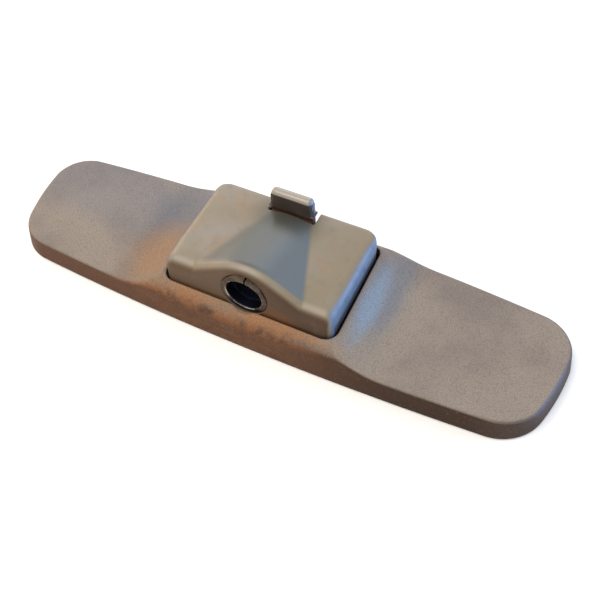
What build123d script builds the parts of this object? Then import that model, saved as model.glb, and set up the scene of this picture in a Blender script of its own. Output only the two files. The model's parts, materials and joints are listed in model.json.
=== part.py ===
from build123d import *

import math
import os

# A vehicle's inside rear-view mirror, lying on its glass with its back up.
# X runs along the mirror, -Y is its upper edge as fitted in the car, +Z points out of its back.
# The head (housing, glass and frame) tips on the pod, which clamps on the car's ball stud.
# A lever at the pod's far side carries a cam that sets the tip: day at rest, night flipped out.

# ---- driving dimensions, mm ----
HALF_WIDTH = 33.06  # of the housing at the middle
HALF_LENGTH = 125.0  # more than enough to reach the ends
NEAR_R = 1480.0  # bow of the upper edge
FAR_R = 1130.0  # bow of the lower edge
END_R = 104.4  # bow of each end
END_CENTRE = (20.1, 14.36)  # of the right end's bow
NEAR_CORNER_R = 20.0
FAR_CORNER_R = 17.8
RIM_Z = 0.8  # housing's lower edge, above the bezel's face
WING_Z = 10.2
HUMP_Z = 20.9
SIDE_DRAFT = 10.8
DRAFT_H = 24.0  # height over which the drafted sides are drawn, clear of the hump
WALL = 2.3

HUMP_X = 38.0  # where the flank meets the hump's top
FLANK_X = 60.0  # where the flank dies into the wing
FLANK_MID = 26.0  # slope in degrees halfway up the hollow flank
LIP_Z = 17.8  # recess lip on the near side
TOP_SLOPE = 0.06  # climb of the hump from the near lip to the far edge
CLIMB_END = 16.0  # where that climb starts to round over
# the hump's two rounded edges as seen from the end: foot, start, middle and end of each round
NEAR_FOOT = (-35.3, -10.0)
NEAR_ROUND = ((-31.9, 7.0), (-30.0, 13.2))
FAR_ROUND = ((25.9, 17.2), (31.2, 9.0))
FAR_FOOT = (35.5, -10.0)
BEYOND = 140.0  # clear of the part on every side, for cutting solids

WELL_X = 38.8
WELL_NEAR = -25.4
WELL_FAR = 25.4
WELL_R = 5.4
WELL_WALL = 1.8
RELIEF_R = 8.4  # dip in the recess's near lip that lets the ball past

BEZEL_SETBACK = 0.4
BEZEL_LIP = 5.2
GLASS_INSET = 3.9
GLASS_THIN = 3.0
DIP_DEG = 4.0
GLASS_INDEX = 1.52
PRISM_DEG = DIP_DEG / GLASS_INDEX

PAD_X = 44.0
PAD_Y = 24.0
PAD_GAP = 36.0

PLATE_Z = 7.6
PLATE_T = 1.5
PLATE_TOP = PLATE_Z + PLATE_T
PLATE_X = 51.0
PLATE_NEAR = -27.0
PLATE_FAR = 26.0
BOSS_X = 47.0
BOSS_Y = 16.0

HINGE_Y = -18.5
HINGE_Z = 12.5
HINGE_PIN_R = 1.5
HINGE_PLAY = 0.05
EAR_X = 25.6  # inner face of the frame's ear
EAR_T = 1.5
EAR_R = 3.3
LUG_X = 22.0
LUG_T = 3.2

COVER_X = 38.0
COVER_NEAR = -24.9
COVER_FAR = 24.6
COVER_BASE = 10.6
COVER_TOP = 28.0
COVER_R = 4.8
COVER_EDGE_R = 4.4
COVER_FAR_EDGE_R = 1.5
COVER_WALL = 1.9

# the cover's ramp at its two ends: station, half width, peak, radius of its back
RAMP_NEAR = (-24.9, 26.5, 38.9, 22.0)
RAMP_FAR = (17.0, 10.8, 29.3, 28.0)
RAMP_CREASE_R = 3.0  # where its flanks meet the level top

NOTCH_X = 10.9
NOTCH_NEAR = 17.0
NOTCH_Z = 12.2

SOCKET_Z = 24.45
RING_R = 10.2
RING_BORE_R = 7.7
RING_FRONT = -24.3
RING_LEAD = 0.5  # depth of the lead-in cone
RING_BACK = -19.8
BALL_R = 7.5
BALL_SEAT_R = BALL_R + 0.05
BALL_Y = -16.4
CUP_MOUTH_R = 6.8
FRONT_CUP_R = 9.4
REAR_CUP_R = 8.4
REAR_CUP_STEP = -10.7
STUB_R = 6.2
CUP_BACK = -8.0
PLUG_R = 6.6
PLUG_FRONT = -6.0
PLUG_BACK = -2.9
BARREL_FRONT = -20.5
BARREL_BACK = -2.8
SEAT_PLAY = 0.02

PIVOT_Y = 17.4
PIVOT_Z = 21.6
LEVER_TURN = 60.0
CAM_R = 4.4
CAM_X = 6.0
CAM_GAP = 0.15
CAM_FLAT = 0.1  # depth of the flats that hold the lever at each end
LEVER_PIN_R = 1.5
LEVER_X = 9.5
LEVER_SLOT_X = 10.0
LEVER_HUB_R = 3.2
LEVER_EAR_R = 3.4
LEVER_EAR_T = 2.6

FLANGE_Z = 16.2
FLANGE_T = 2.0
FLANGE_TOP = FLANGE_Z + FLANGE_T
SCREW_R = 1.1
COVER_BOSS_R = 2.6
COVER_BOSS_X = 29.0
COVER_BOSS_YS = (-8.0, 14.0)

SPRING_WIRE = 0.4
SPRING_COIL_R = 2.2
SPRING_X = 16.6
SPRING_TURNS = 5

TAB_TOP = 38.9
TAB_FOOT = 29.9
TAB_FRONT = 17.9
TAB_BACK = 22.3
TAB_FOOT_X = 10.3
TAB_TOP_X = 8.9
BLADE_FRONT = 18.5
BLADE_BACK = 21.4
BLADE_X = 9.5
BLADE_TOP = 36.2

# The cam's throw lifts the pod's far side by the dip angle while the lever turns from
# half its travel below the level to half above it.
pivot_arm = PIVOT_Y - HINGE_Y
pivot_rise = PIVOT_Z - HINGE_Z
dip = math.radians(DIP_DEG)
half_turn = math.radians(LEVER_TURN / 2)
cam_lift = pivot_arm * math.sin(dip) + pivot_rise * (math.cos(dip) - 1)
cam_throw = cam_lift / (math.sin(half_turn - dip) + math.sin(half_turn))
cam_y = PIVOT_Y + cam_throw * math.cos(half_turn)
cam_z = PIVOT_Z + cam_throw * math.sin(half_turn)
follower_top = cam_z - CAM_R - CAM_GAP
cover_boss_points = [(side * COVER_BOSS_X, y) for side in (-1, 1) for y in COVER_BOSS_YS]
boss_points = [(side * BOSS_X, y) for side in (-1, 1) for y in (-BOSS_Y, BOSS_Y)]

os.makedirs("parts", exist_ok=True)


def save(builder, name):
    """Labels a finished piece and writes it under its node's name."""
    builder.part.label = name
    export_step(builder.part, f"parts/{name}.step")


def head_outline(z, inset=0.0):
    """The housing's plan at a height, drawn in evenly by inset: four bowed edges, rounded corners."""
    with BuildSketch(Plane.XY.offset(z)) as plan:
        Rectangle(2 * HALF_LENGTH, 2 * HALF_WIDTH, align=(Align.MIN, Align.CENTER))
        with Locations((0, NEAR_R - HALF_WIDTH)):
            Circle(NEAR_R - inset, mode=Mode.INTERSECT)
        with Locations((0, HALF_WIDTH - FAR_R)):
            Circle(FAR_R - inset, mode=Mode.INTERSECT)
        with Locations(END_CENTRE):
            Circle(END_R - inset, mode=Mode.INTERSECT)
        near_corner = plan.vertices().filter_by(lambda corner: corner.X > 1).sort_by(Axis.Y)[0]
        fillet(near_corner, radius=NEAR_CORNER_R - inset)
        far_corner = plan.vertices().filter_by(lambda corner: corner.X > 1).sort_by(Axis.Y)[-1]
        fillet(far_corner, radius=FAR_CORNER_R - inset)
        mirror(about=Plane.YZ)
    return plan.sketch


def housing_form(inset=0.0):
    """The housing's closed outer form, drawn in by inset on its sides and top."""
    flank_r = ((FLANK_X - HUMP_X) ** 2 + (HUMP_Z - WING_Z) ** 2) / (2 * (HUMP_Z - WING_Z))
    flank_mid = math.radians(FLANK_MID)
    flank_mid_x = FLANK_X - flank_r * math.sin(flank_mid)
    flank_mid_z = WING_Z + flank_r * (1 - math.cos(flank_mid))
    with BuildPart() as form:
        add(head_outline(RIM_Z, inset))
        add(head_outline(RIM_Z + DRAFT_H, inset + DRAFT_H * math.tan(math.radians(SIDE_DRAFT))))
        loft(ruled=True)
        # seen from the near side: level wings and a hump with hollow flanks
        with BuildSketch(Plane.XZ) as front:
            with BuildLine():
                base = Polyline(
                    (-BEYOND, WING_Z), (-BEYOND, -10), (BEYOND, -10), (BEYOND, WING_Z), (FLANK_X, WING_Z)
                )
                right = ThreePointArc(base @ 1, (flank_mid_x, flank_mid_z), (HUMP_X, HUMP_Z))
                top = Line(right @ 1, (-HUMP_X, HUMP_Z))
                left = ThreePointArc(top @ 1, (-flank_mid_x, flank_mid_z), (-FLANK_X, WING_Z))
                Line(left @ 1, base @ 0)
            make_face()
            if inset:
                offset(amount=-inset, kind=Kind.INTERSECTION, mode=Mode.REPLACE)
        extrude(amount=60, both=True, mode=Mode.INTERSECT)
        # seen from the end: a rounded near edge, a top that climbs, a rounded far edge
        with BuildSketch(Plane.YZ) as side:
            with BuildLine():
                near_foot = Line(NEAR_FOOT, NEAR_ROUND[0])
                near_round = ThreePointArc(near_foot @ 1, NEAR_ROUND[1], (WELL_NEAR, LIP_Z))
                climb_z = LIP_Z + TOP_SLOPE * (CLIMB_END - WELL_NEAR)
                climb = Line(near_round @ 1, (CLIMB_END, climb_z))
                far_round = ThreePointArc(climb @ 1, FAR_ROUND[0], FAR_ROUND[1])
                far_foot = Line(far_round @ 1, FAR_FOOT)
                Line(far_foot @ 1, near_foot @ 0)
            make_face()
            if inset:
                offset(amount=-inset, kind=Kind.INTERSECTION, mode=Mode.REPLACE)
        extrude(amount=BEYOND, both=True, mode=Mode.INTERSECT)
    return form.part


def well_plan(z, grow=0.0):
    """The plan of the recess that the pod sits in."""
    with BuildSketch(Plane.XY.offset(z)) as plan:
        with Locations((0, (WELL_NEAR + WELL_FAR) / 2)):
            RectangleRounded(
                2 * (WELL_X + grow), WELL_FAR - WELL_NEAR + 2 * grow, WELL_R + grow
            )
    return plan.sketch


def ramp_section(station, inset):
    """One cross-section of the cover's ramp: a round back with a straight flank on each side."""
    y, half_width, peak, back_r = station
    half_width = half_width - inset
    top = peak - inset
    foot = COVER_TOP - inset
    rise = top - foot
    radii = back_r + RAMP_CREASE_R
    lean = math.atan2(half_width, radii - rise) - math.acos(radii / math.hypot(half_width, radii - rise))
    turn_x = back_r * math.sin(lean)
    turn_z = top - back_r * (1 - math.cos(lean))
    crease_x = half_width - RAMP_CREASE_R * math.sin(lean)
    crease_z = foot + RAMP_CREASE_R * (1 - math.cos(lean))
    mid_x = half_width - RAMP_CREASE_R * math.sin(lean / 2)
    mid_z = foot + RAMP_CREASE_R * (1 - math.cos(lean / 2))
    with BuildSketch(Plane.XZ.offset(-y)) as section:
        with BuildLine():
            left = ThreePointArc((-half_width, foot), (-mid_x, mid_z), (-crease_x, crease_z))
            left_flank = Line(left @ 1, (-turn_x, turn_z))
            back = ThreePointArc(left_flank @ 1, (0, top), (turn_x, turn_z))
            right_flank = Line(back @ 1, (crease_x, crease_z))
            right = ThreePointArc(right_flank @ 1, (mid_x, mid_z), (half_width, foot))
            Polyline(right @ 1, (half_width / 2, COVER_TOP - 8), (-half_width / 2, COVER_TOP - 8), left @ 0)
        make_face()
    return section.sketch


def cover_form(inset=0.0):
    """The pod cover's closed outer form, drawn in by inset on its sides and top."""
    with BuildPart() as ramp:
        add(ramp_section((RAMP_NEAR[0] + inset, *RAMP_NEAR[1:]), inset))
        add(ramp_section(RAMP_FAR, inset))
        loft(ruled=True)
        # the front leans back a little and rolls over at the top of the ramp
        with BuildSketch(Plane.YZ) as side:
            with BuildLine():
                foot = Polyline((40, 0), (COVER_NEAR, 0), (COVER_NEAR, 15.0), (-23.1, 34.4))
                roll = ThreePointArc(foot @ 1, (-21.6, 37.2), (-18.6, 38.6))
                Polyline(roll @ 1, (40, 38.6), foot @ 0)
            make_face()
            if inset:
                offset(amount=-inset, kind=Kind.INTERSECTION, mode=Mode.REPLACE)
        extrude(amount=60, both=True, mode=Mode.INTERSECT)
    with BuildPart() as form:
        with BuildSketch(Plane.XY.offset(COVER_BASE)):
            with Locations((0, (COVER_NEAR + COVER_FAR) / 2)):
                RectangleRounded(
                    2 * (COVER_X - inset), COVER_FAR - COVER_NEAR - 2 * inset, COVER_R - inset
                )
        extrude(amount=COVER_TOP - inset - COVER_BASE)
        # rounded along its left and right edges
        with BuildSketch(Plane.XZ) as front:
            with Locations((0, COVER_TOP / 2)):
                Rectangle(2 * COVER_X, COVER_TOP)
            fillet(front.vertices().group_by(Axis.Y)[-1], radius=COVER_EDGE_R)
            if inset:
                offset(amount=-inset, kind=Kind.INTERSECTION, mode=Mode.REPLACE)
        extrude(amount=60, both=True, mode=Mode.INTERSECT)
        # the front's lean, a rounded near edge and a tighter far edge
        with BuildSketch(Plane.YZ) as side:
            with BuildLine():
                Polyline(
                    (COVER_FAR, 0), (COVER_NEAR, 0), (COVER_NEAR, 15.0), (-23.7, COVER_TOP), (COVER_FAR, COVER_TOP),
                    close=True,
                )
            make_face()
            top_corners = side.vertices().group_by(Axis.Y)[-1].sort_by(Axis.X)
            fillet(top_corners[-1], radius=COVER_FAR_EDGE_R)
            near_corner = side.vertices().group_by(Axis.Y)[-1].sort_by(Axis.X)[0]
            fillet(near_corner, radius=COVER_EDGE_R)
            if inset:
                offset(amount=-inset, kind=Kind.INTERSECTION, mode=Mode.REPLACE)
        extrude(amount=60, both=True, mode=Mode.INTERSECT)
        add(ramp.part)
    return form.part


# ---- head ----

with BuildPart() as well_wall:
    add(housing_form())
    add(well_plan(PLATE_TOP + 0.1, WELL_WALL))
    extrude(amount=20, mode=Mode.INTERSECT)

with BuildPart() as boss_posts:
    add(housing_form())
    with BuildSketch(Plane.XY.offset(PLATE_TOP)):
        with GridLocations(2 * BOSS_X, 2 * BOSS_Y, 2, 2):
            Circle(3.0)
    extrude(amount=20, mode=Mode.INTERSECT)

with BuildPart() as housing_shell:
    add(housing_form())
    add(housing_form(WALL), mode=Mode.SUBTRACT)
    add(well_wall.part)
    add(boss_posts.part)
    add(well_plan(0))
    extrude(amount=30, mode=Mode.SUBTRACT)
    with Locations(Plane((0, WELL_NEAR + 2, SOCKET_Z), z_dir=(0, -1, 0))):
        Cylinder(RELIEF_R, 20, align=(Align.CENTER, Align.CENTER, Align.MIN), mode=Mode.SUBTRACT)
    with BuildSketch(Plane.XY.offset(PLATE_TOP)):
        with GridLocations(2 * BOSS_X, 2 * BOSS_Y, 2, 2):
            Circle(1.12)
    extrude(amount=3.2, mode=Mode.SUBTRACT)
save(housing_shell, "housing_shell")

# An L-shaped ring that grips the glass's edge and shows as a thin line round the rim.
with BuildPart() as glass_bezel:
    add(head_outline(0, BEZEL_SETBACK))
    extrude(amount=RIM_Z)
    add(head_outline(RIM_Z, WALL + 0.9))
    extrude(amount=3.0)
    add(head_outline(0, BEZEL_LIP))
    extrude(amount=6, mode=Mode.SUBTRACT)
    add(head_outline(RIM_Z, GLASS_INSET - 0.02))
    extrude(amount=6, mode=Mode.SUBTRACT)
save(glass_bezel, "glass_bezel")

glass_edge = HALF_WIDTH - GLASS_INSET


def glass_back(y):
    """Height of the glass's sloping back at y."""
    return RIM_Z + GLASS_THIN + (glass_edge - y) * math.tan(math.radians(PRISM_DEG))


# Wedge glass, thickest along the upper edge, so its two faces part by the prism angle.
with BuildPart() as mirror_glass:
    add(head_outline(RIM_Z, GLASS_INSET))
    extrude(amount=8.0)
    with BuildSketch(Plane.YZ):
        with BuildLine():
            Polyline(
                (-glass_edge, 0),
                (glass_edge, 0),
                (glass_edge, glass_back(glass_edge)),
                (-glass_edge, glass_back(-glass_edge)),
                close=True,
            )
        make_face()
    extrude(amount=BEYOND, both=True, mode=Mode.INTERSECT)
save(mirror_glass, "mirror_glass")

# Foam pads, wedge-shaped to bed the level frame on the sloping back of the glass.
with BuildPart() as foam_pads:
    with BuildSketch(Plane.YZ):
        with BuildLine():
            Polyline(
                (-PAD_Y, glass_back(-PAD_Y)),
                (PAD_Y, glass_back(PAD_Y)),
                (PAD_Y, PLATE_Z),
                (-PAD_Y, PLATE_Z),
                close=True,
            )
        make_face()
    extrude(amount=PAD_X, both=True)
    with BuildSketch(Plane.XY):
        Rectangle(PAD_GAP, 3 * PAD_Y)
    extrude(amount=PLATE_TOP, mode=Mode.SUBTRACT)
save(foam_pads, "foam_pads")

with BuildPart() as frame_plate:
    with BuildSketch(Plane.XY.offset(PLATE_Z)) as plan:
        with Locations((0, (PLATE_NEAR + PLATE_FAR) / 2)):
            RectangleRounded(2 * PLATE_X, PLATE_FAR - PLATE_NEAR, 7)
        with GridLocations(2 * 37, 0, 2, 1):
            SlotOverall(24, 9, rotation=90, mode=Mode.SUBTRACT)
        with Locations((0, -4)):
            RectangleRounded(28, 22, 4, mode=Mode.SUBTRACT)
    extrude(amount=PLATE_T)
    # ears that carry the hinge
    with BuildSketch(Plane.YZ) as ears:
        with Locations((HINGE_Y, HINGE_Z)):
            Circle(EAR_R)
        with Locations((HINGE_Y, (PLATE_Z + HINGE_Z) / 2)):
            Rectangle(2 * EAR_R, HINGE_Z - PLATE_Z)
        with Locations((HINGE_Y, HINGE_Z)):
            Circle(2.6, mode=Mode.SUBTRACT)
    extrude(ears.sketch, amount=EAR_X + EAR_T, both=True)
    with BuildSketch(Plane.XY.offset(PLATE_TOP)):
        with Locations((0, HINGE_Y)):
            Rectangle(2 * EAR_X, 10)
    extrude(amount=10, mode=Mode.SUBTRACT)
    # countersunk holes for the frame screws and the follower's screw
    with Locations(Plane.XY.offset(PLATE_Z)):
        with Locations(*boss_points, (0, cam_y)):
            Cylinder(1.3, PLATE_T, align=(Align.CENTER, Align.CENTER, Align.MIN), mode=Mode.SUBTRACT)
            Cone(2.5, 1.3, 1.25, align=(Align.CENTER, Align.CENTER, Align.MIN), mode=Mode.SUBTRACT)
save(frame_plate, "frame_plate")


def countersunk_screw(points, length, shank_r):
    """Countersunk screws whose flush heads face down, each with a cross recess."""
    with BuildPart() as screws:
        with Locations(*[(x, y, PLATE_Z) for x, y in points]):
            Cone(2.4, shank_r, 1.2, align=(Align.CENTER, Align.CENTER, Align.MIN))
            Cylinder(shank_r, length, align=(Align.CENTER, Align.CENTER, Align.MIN))
            Box(0.5, 2.4, 0.7, align=(Align.CENTER, Align.CENTER, Align.MIN), mode=Mode.SUBTRACT)
            Box(2.4, 0.5, 0.7, align=(Align.CENTER, Align.CENTER, Align.MIN), mode=Mode.SUBTRACT)
    return screws


frame_screws = countersunk_screw(boss_points, 4.3, 1.1)
save(frame_screws, "frame_screws")
follower_screw = countersunk_screw([(0, cam_y)], 7.5, 1.1)
save(follower_screw, "follower_screw")

# Nylon block that the cam bears on.
with BuildPart() as cam_follower:
    with BuildSketch(Plane.XY.offset(PLATE_TOP)):
        with Locations((0, cam_y)):
            RectangleRounded(14, 4.4, 1.2)
    extrude(amount=follower_top - PLATE_TOP)
    fillet(cam_follower.faces().sort_by(Axis.Z)[-1].edges(), radius=0.6)
    with BuildSketch(Plane.XY.offset(PLATE_TOP)):
        with Locations((0, cam_y)):
            Circle(1.12)
    extrude(amount=6.4, mode=Mode.SUBTRACT)
save(cam_follower, "cam_follower")


def bar(radius, x0, x1, y, z):
    """A round bar along X between two stations."""
    with BuildPart() as rod:
        with BuildSketch(Plane.YZ.offset(x0)):
            with Locations((y, z)):
                Circle(radius)
        extrude(amount=x1 - x0)
    return rod.part


with BuildPart() as hinge_bushes:
    add(bar(2.58, EAR_X, EAR_X + EAR_T, HINGE_Y, HINGE_Z))
    add(bar(3.2, EAR_X + EAR_T, EAR_X + EAR_T + 0.6, HINGE_Y, HINGE_Z))
    add(bar(HINGE_PIN_R + HINGE_PLAY, EAR_X, EAR_X + 4, HINGE_Y, HINGE_Z), mode=Mode.SUBTRACT)
    mirror(about=Plane.YZ)
save(hinge_bushes, "hinge_bushes")

# ---- pod ----

clip_x = EAR_X + EAR_T + 0.9
with BuildPart() as hinge_pins:
    add(bar(2.4, SPRING_X - 1.2, SPRING_X - 0.2, HINGE_Y, HINGE_Z))
    add(bar(HINGE_PIN_R, SPRING_X - 0.2, clip_x, HINGE_Y, HINGE_Z))
    add(bar(HINGE_PIN_R - 0.4, clip_x, clip_x + 0.6, HINGE_Y, HINGE_Z))
    add(bar(HINGE_PIN_R, clip_x + 0.6, clip_x + 1.4, HINGE_Y, HINGE_Z))
    mirror(about=Plane.YZ)
save(hinge_pins, "hinge_pins")

with BuildPart() as hinge_clips:
    with BuildSketch(Plane.YZ.offset(clip_x + 0.05)):
        with Locations((HINGE_Y, HINGE_Z)):
            Circle(2.9)
            Circle(HINGE_PIN_R - 0.38, mode=Mode.SUBTRACT)
        with Locations((HINGE_Y, HINGE_Z + 2)):
            Rectangle(1.9, 4, mode=Mode.SUBTRACT)
    extrude(amount=0.5)
    mirror(about=Plane.YZ)
save(hinge_clips, "hinge_clips")


def turned(points):
    """A solid of revolution about the socket's axis, from (radius, y) points."""
    with BuildPart() as body:
        with BuildSketch(Plane.XY.offset(SOCKET_Z)):
            with BuildLine():
                Polyline(*points, close=True)
            make_face()
        revolve(axis=Axis((0, 0, SOCKET_Z), (0, 1, 0)))
    return body.part


# A cone that narrows under the cover's ramp.
barrel = turned(
    [
        (0, BARREL_FRONT),
        (10.4, BARREL_FRONT),
        (10.8, -20.0),
        (10.8, -19.0),
        (7.4, BARREL_BACK),
        (0, BARREL_BACK),
    ]
)
# Room for the ring, the front cup, the rear cup and the threaded plug, from the mouth back.
bore = turned(
    [
        (0, BARREL_FRONT - 1),
        (RING_R, BARREL_FRONT - 1),
        (RING_R, RING_BACK),
        (FRONT_CUP_R, RING_BACK),
        (FRONT_CUP_R, BALL_Y),
        (REAR_CUP_R, BALL_Y),
        (REAR_CUP_R, REAR_CUP_STEP),
        (PLUG_R, REAR_CUP_STEP),
        (PLUG_R, BARREL_BACK + 1),
        (0, BARREL_BACK + 1),
    ]
)

with BuildPart() as pod_carrier:
    # flange plate that the cover sits on
    with BuildSketch(Plane.XY.offset(FLANGE_Z)):
        with Locations((0, 2.5)):
            RectangleRounded(2 * 33.0, 35.0, 4)
        with Locations((0, 17.5)):
            Rectangle(2 * LEVER_SLOT_X, 17.0, mode=Mode.SUBTRACT)
    extrude(amount=FLANGE_T)
    # ribs from the barrel back along the flange
    with BuildSketch(Plane.XY.offset(FLANGE_Z)):
        with Locations((-6.5, 0.0), (6.5, 0.0)):
            Rectangle(2.0, 15.0)
    extrude(amount=6.0)
    # side arms that drop to the hinge pins
    for side in (-1, 1):
        with BuildSketch(Plane.YZ.offset(side * LUG_X)):
            with Locations((HINGE_Y, HINGE_Z)):
                Circle(EAR_R)
            with BuildLine():
                Polyline(
                    (HINGE_Y - EAR_R, HINGE_Z),
                    (HINGE_Y - EAR_R, FLANGE_TOP - 1.5),
                    (HINGE_Y - EAR_R + 1.5, FLANGE_TOP),
                    (-6.0, FLANGE_TOP),
                    (-6.0, FLANGE_Z),
                    (HINGE_Y + EAR_R, HINGE_Z),
                    close=True,
                )
            make_face()
        extrude(amount=side * LUG_T)
    # ears for the lever's pin
    for side in (-1, 1):
        with BuildSketch(Plane.YZ.offset(side * LEVER_SLOT_X)):
            with Locations((PIVOT_Y, PIVOT_Z)):
                Circle(LEVER_EAR_R)
            with Locations((PIVOT_Y - 0.6, (FLANGE_Z + PIVOT_Z) / 2)):
                Rectangle(2 * LEVER_EAR_R + 1.2, PIVOT_Z - FLANGE_Z)
        extrude(amount=side * LEVER_EAR_T)
    add(barrel)
    add(bore, mode=Mode.SUBTRACT)
    # holes for the hinge pins, the lever's pin and the cover's screws
    add(bar(HINGE_PIN_R, -LUG_X - 5, LUG_X + 5, HINGE_Y, HINGE_Z), mode=Mode.SUBTRACT)
    add(bar(LEVER_PIN_R, -20, 20, PIVOT_Y, PIVOT_Z), mode=Mode.SUBTRACT)
    with BuildSketch(Plane.XY.offset(FLANGE_Z)):
        with Locations(*cover_boss_points):
            Circle(SCREW_R + 0.1)
    extrude(amount=FLANGE_T, mode=Mode.SUBTRACT)
save(pod_carrier, "pod_carrier")

# Split clamp ring of sprung steel: a lead-in cone at the mouth, then the parallel bore.
with BuildPart() as socket_ring:
    add(
        turned(
            [
                (RING_BORE_R + 0.4, RING_FRONT),
                (RING_R - 0.2, RING_FRONT),
                (RING_R - 0.02, RING_FRONT + 0.2),
                (RING_R - 0.02, RING_BACK - SEAT_PLAY),
                (RING_BORE_R, RING_BACK - SEAT_PLAY),
                (RING_BORE_R, RING_FRONT + RING_LEAD),
            ]
        )
    )
    with Locations((1.4, (RING_FRONT + RING_BACK) / 2, SOCKET_Z + RING_R)):
        Box(0.8, 12, 8, mode=Mode.SUBTRACT)
save(socket_ring, "socket_ring")

# Acetal cups: the ball snaps through the front one and is pushed into it by the rear one.
with BuildPart() as ball_cup_front:
    add(
        turned(
            [
                (CUP_MOUTH_R, RING_BACK + SEAT_PLAY),
                (FRONT_CUP_R - SEAT_PLAY, RING_BACK + SEAT_PLAY),
                (FRONT_CUP_R - SEAT_PLAY, BALL_Y - 0.1),
                (CUP_MOUTH_R, BALL_Y - 0.1),
            ]
        )
    )
    with Locations((0, BALL_Y, SOCKET_Z)):
        Sphere(BALL_SEAT_R, mode=Mode.SUBTRACT)
save(ball_cup_front, "ball_cup_front")

with BuildPart() as ball_cup_rear:
    add(
        turned(
            [
                (0, BALL_Y + 0.1),
                (REAR_CUP_R - SEAT_PLAY, BALL_Y + 0.1),
                (REAR_CUP_R - SEAT_PLAY, REAR_CUP_STEP - SEAT_PLAY),
                (STUB_R, REAR_CUP_STEP - SEAT_PLAY),
                (STUB_R, CUP_BACK),
                (0, CUP_BACK),
            ]
        )
    )
    with Locations((0, BALL_Y, SOCKET_Z)):
        Sphere(BALL_SEAT_R, mode=Mode.SUBTRACT)
save(ball_cup_rear, "ball_cup_rear")

# A facing pair of dished spring washers that load the cups.
with BuildPart() as socket_springs:
    for seat_y, out in ((CUP_BACK, 1), (PLUG_FRONT, -1)):
        dish = [(6.1, 0.02), (6.1, 0.4), (2.5, 0.98), (2.5, 0.6)]
        add(turned([(radius, seat_y + out * rise) for radius, rise in dish]))
save(socket_springs, "socket_springs")

with BuildPart() as socket_plug:
    add(
        turned(
            [
                (0, PLUG_FRONT),
                (PLUG_R - 0.35, PLUG_FRONT),
                (PLUG_R - SEAT_PLAY, PLUG_FRONT + 0.35),
                (PLUG_R - SEAT_PLAY, PLUG_BACK),
                (0, PLUG_BACK),
            ]
        )
    )
    with BuildSketch(Plane.XZ.offset(-PLUG_BACK)):
        with Locations((0, SOCKET_Z)):
            RegularPolygon(radius=3.2, side_count=6)
    extrude(amount=1.8, mode=Mode.SUBTRACT)
save(socket_plug, "socket_plug")

# Torsion springs on the hinge pins' inner ends: they press the cam on its follower.
with BuildPart() as tilt_springs:
    coil_pitch = 2 * SPRING_WIRE
    first_turn_x = SPRING_X + SPRING_WIRE
    last_turn_x = first_turn_x + (SPRING_TURNS - 1) * coil_pitch
    # close-wound turns, drawn as rings that touch
    with BuildSketch(Plane((0, HINGE_Y, HINGE_Z), x_dir=(1, 0, 0), z_dir=(0, -1, 0))):
        for k in range(SPRING_TURNS):
            with Locations((first_turn_x + k * coil_pitch, SPRING_COIL_R)):
                Circle(SPRING_WIRE)
        with Locations(((first_turn_x + last_turn_x) / 2, SPRING_COIL_R)):
            Rectangle(last_turn_x - first_turn_x, SPRING_WIRE)
    revolve(axis=Axis((0, HINGE_Y, HINGE_Z), (1, 0, 0)))
    # one leg bears on the frame, the other climbs over the flange and presses it down
    leg_y = HINGE_Y - SPRING_COIL_R
    leg_top = FLANGE_TOP + SPRING_WIRE + 0.02
    with Locations(Plane((first_turn_x, HINGE_Y + 0.5, HINGE_Z - SPRING_COIL_R), z_dir=(0, -1, -0.12))):
        Cylinder(SPRING_WIRE, 4.2, align=(Align.CENTER, Align.CENTER, Align.MIN))
    with Locations((last_turn_x, leg_y, HINGE_Z - 0.5)):
        Cylinder(SPRING_WIRE, leg_top - HINGE_Z + 0.5, align=(Align.CENTER, Align.CENTER, Align.MIN))
    with Locations((last_turn_x, leg_y, leg_top)):
        Sphere(SPRING_WIRE)
    with Locations(Plane((last_turn_x, leg_y, leg_top), z_dir=(0, 1, 0))):
        Cylinder(SPRING_WIRE, 8.0, align=(Align.CENTER, Align.CENTER, Align.MIN))
    mirror(about=Plane.YZ)
save(tilt_springs, "tilt_springs")

# Shell that slips over the carrier, with a ramp over the barrel and a notch for the lever.
with BuildPart() as cover_posts:
    add(cover_form())
    with BuildSketch(Plane.XY.offset(FLANGE_TOP)):
        with Locations(*cover_boss_points):
            Circle(COVER_BOSS_R)
    extrude(amount=20, mode=Mode.INTERSECT)

with BuildPart() as pod_cover:
    add(cover_form())
    add(cover_form(COVER_WALL), mode=Mode.SUBTRACT)
    add(cover_posts.part)
    with Locations(Plane((0, RING_FRONT - 4, SOCKET_Z), z_dir=(0, 1, 0))):
        Cylinder(RING_R + 0.15, 8, align=(Align.CENTER, Align.CENTER, Align.MIN), mode=Mode.SUBTRACT)
    with BuildSketch(Plane.XY.offset(NOTCH_Z)):
        with Locations((0, NOTCH_NEAR)):
            Rectangle(2 * NOTCH_X, 20, align=(Align.CENTER, Align.MIN))
    extrude(amount=20, mode=Mode.SUBTRACT)
    with BuildSketch(Plane.XY.offset(FLANGE_TOP)):
        with Locations(*cover_boss_points):
            Circle(SCREW_R)
    extrude(amount=6.5, mode=Mode.SUBTRACT)
save(pod_cover, "pod_cover")

with BuildPart() as cover_screws:
    with Locations(*[(x, y, FLANGE_Z) for x, y in cover_boss_points]):
        Cylinder(2.3, 1.4, align=(Align.CENTER, Align.CENTER, Align.MAX))
        Cylinder(SCREW_R, 8.0, align=(Align.CENTER, Align.CENTER, Align.MIN))
    with Locations(*[(x, y, FLANGE_Z - 1.4) for x, y in cover_boss_points]):
        Box(0.6, 2.6, 0.8, align=(Align.CENTER, Align.CENTER, Align.MIN), mode=Mode.SUBTRACT)
        Box(2.6, 0.6, 0.8, align=(Align.CENTER, Align.CENTER, Align.MIN), mode=Mode.SUBTRACT)
save(cover_screws, "cover_screws")

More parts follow.
